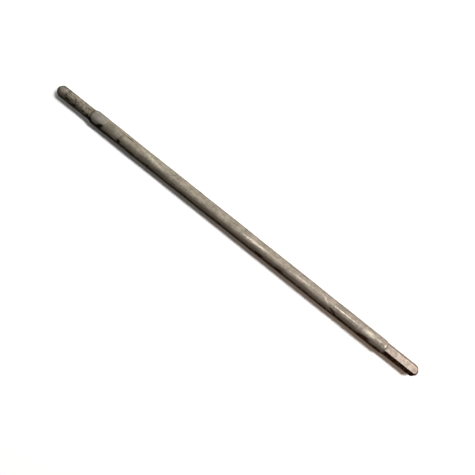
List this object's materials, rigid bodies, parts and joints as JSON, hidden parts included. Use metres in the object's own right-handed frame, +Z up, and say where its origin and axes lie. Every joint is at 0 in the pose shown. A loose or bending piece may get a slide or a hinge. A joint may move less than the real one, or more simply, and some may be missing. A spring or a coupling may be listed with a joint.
{
  "type": "drill mixer shaft",
  "caption": "Straight shaft of a drill-driven paint mixer: steel tube with a brazed-in hexagonal drive shank and a brazed-in round spigot for the mixing head.",
  "frame": {"origin": "on the shaft's axis, at the tube's end face where the hexagonal shank comes out", "axes": "+X along the shaft, out of the tube towards the tip of the hexagonal shank; +Z up with the shaft lying flat; +Y completes the right-handed frame"},
  "size_m": [0.3961, 0.0126, 0.0126],
  "materials": {
    "drawn_tube_steel": "satin, mottled",
    "hex_bar_steel": "satin",
    "spigot_steel": "satin, stained",
    "braze_metal": "matt"
  },
  "bodies": {
    "root": {"shaft_tube": "drawn_tube_steel", "hex_shank": "hex_bar_steel", "head_spigot": "spigot_steel", "hex_braze": "braze_metal", "spigot_braze": "braze_metal"}
  },
  "joints": []
}
